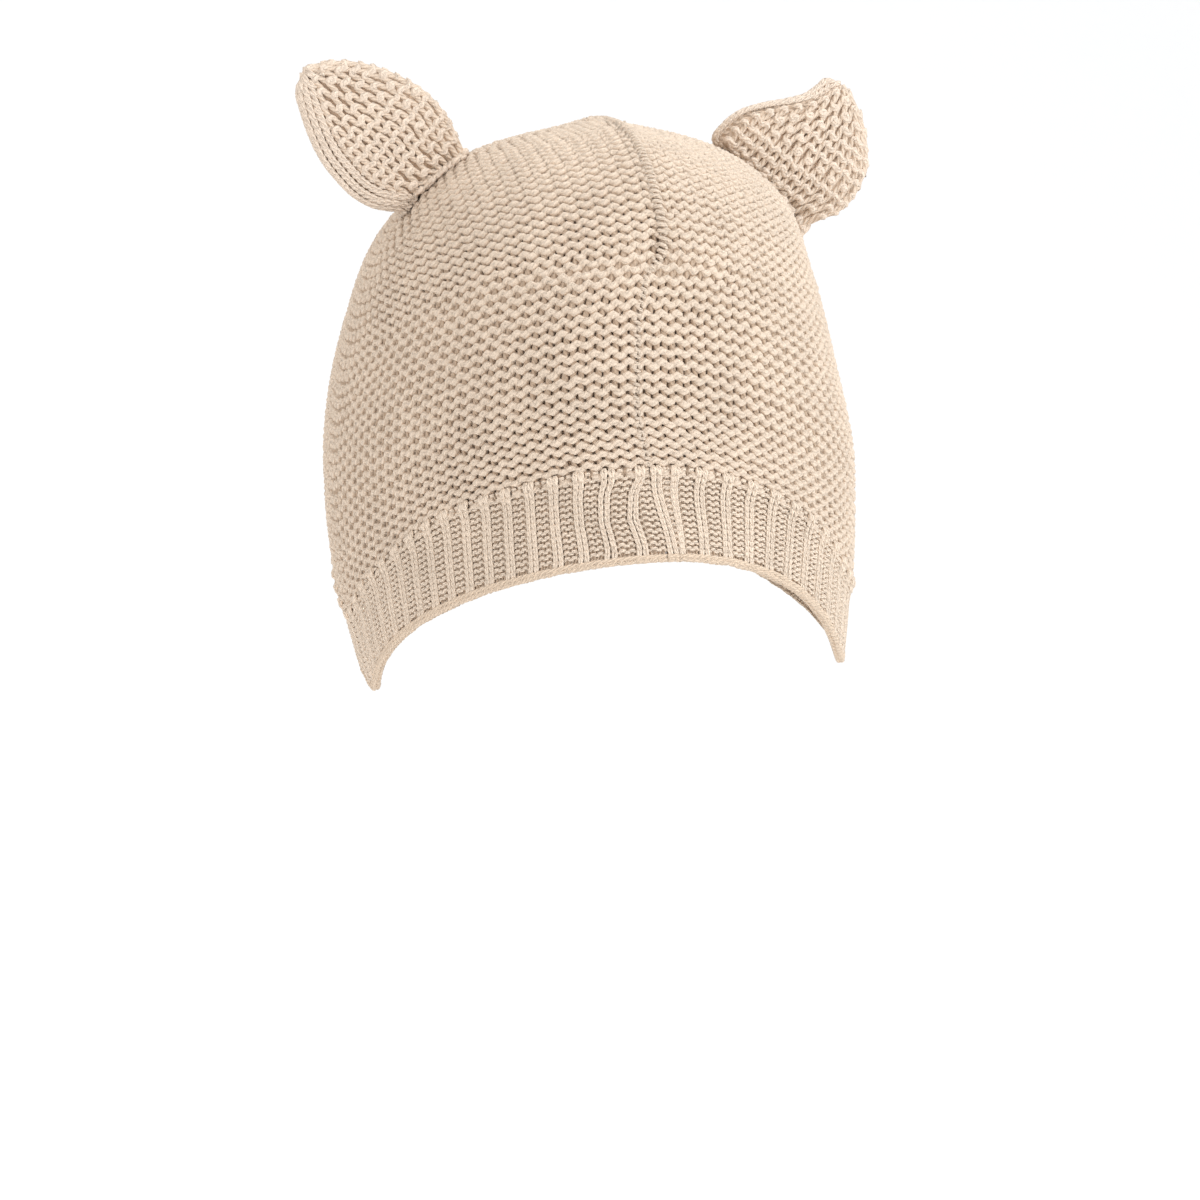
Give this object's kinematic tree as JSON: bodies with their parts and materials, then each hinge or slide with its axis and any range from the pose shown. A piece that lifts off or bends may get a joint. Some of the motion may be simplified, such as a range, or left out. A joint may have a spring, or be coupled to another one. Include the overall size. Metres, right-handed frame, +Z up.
{
  "type": "earflap beanie",
  "caption": "Knitted baby hat with animal ears, a seam over the crown and a ribbed band that dips over the wearer's ears.",
  "frame": {"origin": "top of the hollow, where the hat sits on the crown of a head", "axes": "+Z up, -Y the way the wearer faces, -X to the wearer's right"},
  "size_m": [0.1559, 0.176, 0.1686],
  "materials": {
    "body_knit": "matt cream cotton yarn, purl side out",
    "rib_knit": "matt cream cotton yarn, 2 by 2 rib",
    "ear_knit": "matt cream cotton yarn, garter stitch"
  },
  "bodies": {
    "root": {"crown_left": "body_knit", "crown_right": "body_knit", "rib_band_left": "rib_knit", "rib_band_right": "rib_knit", "ear_left": "ear_knit", "ear_right": "ear_knit"}
  },
  "joints": []
}
